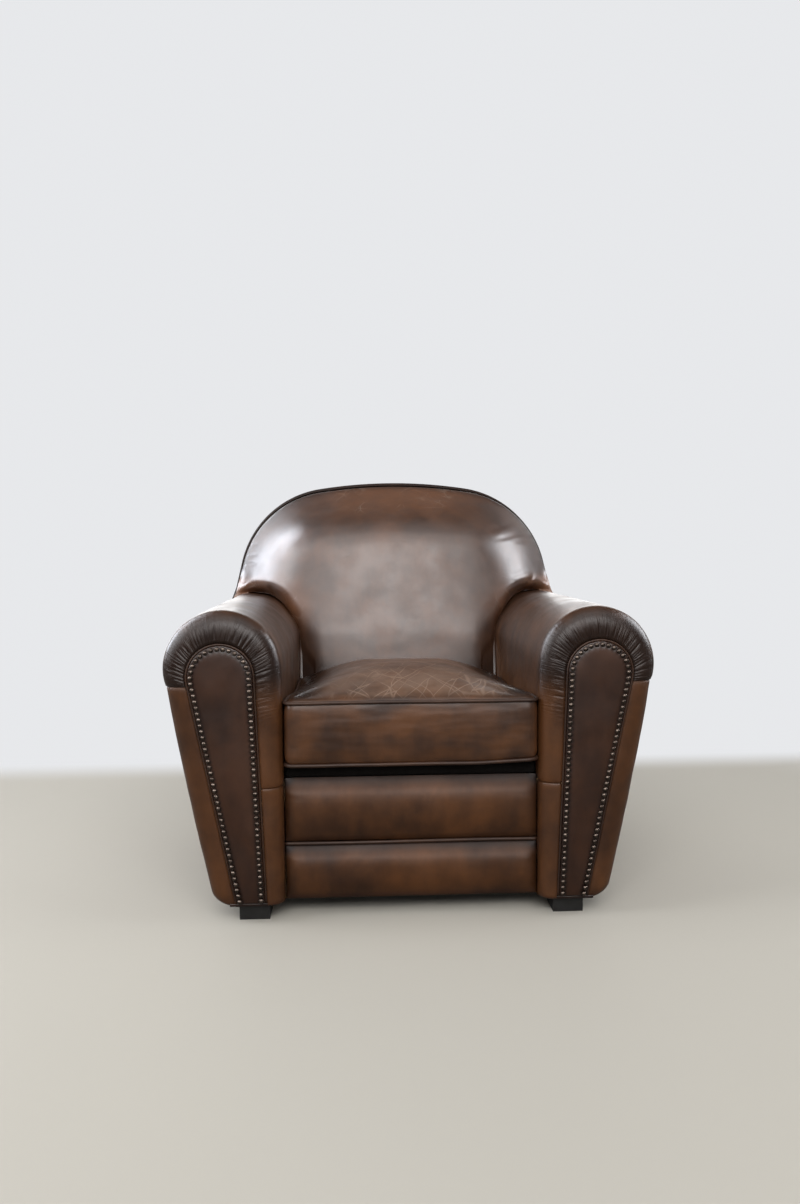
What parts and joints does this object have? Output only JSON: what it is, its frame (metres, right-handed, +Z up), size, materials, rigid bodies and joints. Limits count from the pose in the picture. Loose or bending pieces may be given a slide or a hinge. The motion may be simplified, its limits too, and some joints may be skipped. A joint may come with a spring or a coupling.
{
  "type": "lounge chair",
  "caption": "Deep leather club chair with an arched back, round tapered arms with nailed fronts, a loose boxed seat cushion and block feet.",
  "frame": {"origin": "on the floor, below the middle of the chair's bounding box", "axes": "+X to the right of someone who faces the chair, +Y from its front to its back, +Z up"},
  "size_m": [0.9, 0.8594, 0.8483],
  "materials": {
    "timber": "raw sawn hardwood",
    "plywood": "raw birch plywood and fibreboard",
    "webbing": "woven elastic webbing",
    "black_cloth": "black lining cloth",
    "foot_black": "black satin lacquer",
    "bolt_steel": "zinc plated",
    "leather_arms": "waxed leather",
    "leather_dark": "dark glossy waxed leather",
    "leather_welt": "dark waxed leather",
    "nail_bronze": "antiqued bronze",
    "leather_back": "waxed leather",
    "leather_cushion": "worn waxed leather",
    "zip_tape": "brown zip tape",
    "zip_brass": "polished"
  },
  "bodies": {
    "chair": {"front_lower_rail": "timber", "front_seat_rail": "timber", "side_lower_rail_left": "timber", "side_lower_rail_right": "timber", "side_seat_rail_left": "timber", "side_seat_rail_right": "timber", "front_post_left": "timber", "front_post_right": "timber", "arm_front_board_left": "plywood", "arm_front_board_right": "plywood", "arm_top_rail_left": "timber", "arm_top_rail_right": "timber", "arm_stay_rail_left": "timber", "arm_stay_rail_right": "timber", "rear_post_left": "timber", "rear_post_right": "timber", "back_lower_rail": "timber", "back_seat_rail": "timber", "back_stay_rail": "timber", "back_shoulder_left": "timber", "back_shoulder_right": "timber", "back_top_rail": "timber", "corner_blocks": "timber", "seat_straps_long": "webbing", "seat_straps_cross": "webbing", "back_straps": "webbing", "seat_deck": "black_cloth", "dust_cover": "black_cloth", "foot_front_left": "foot_black", "foot_front_right": "foot_black", "foot_rear_left": "foot_black", "foot_rear_right": "foot_black", "foot_bolts": "bolt_steel", "inside_arm_left": "leather_arms", "inside_arm_right": "leather_arms", "arm_roll_left": "leather_arms", "arm_roll_right": "leather_arms", "arm_liners": "plywood", "outside_arm_left": "leather_arms", "outside_arm_right": "leather_arms", "gathered_band_left": "leather_dark", "gathered_band_right": "leather_dark", "arm_front_strips": "leather_arms", "facing_left": "leather_dark", "facing_right": "leather_dark", "facing_piping": "leather_welt", "facing_nails": "nail_bronze", "inside_arm_welts": "leather_welt", "inside_back": "leather_back", "back_border": "leather_back", "outside_back": "leather_back", "back_welt": "leather_welt", "front_roll_upper": "leather_arms", "front_roll_lower": "leather_arms", "front_welt": "leather_welt"},
    "cushion": {"seat_cushion": "leather_cushion", "cushion_piping": "leather_welt", "zip_tape": "zip_tape"},
    "slider": {"zip_slider": "zip_brass"}
  },
  "joints": [
    {"name": "cushion_lift", "type": "slide", "parent": "chair", "child": "cushion", "axis": [0, 0, 1], "range_m": [0, 0.3]},
    {"name": "zip_slide", "type": "slide", "parent": "cushion", "child": "slider", "axis": [1, 0, 0], "range_m": [0, 0.37]}
  ]
}
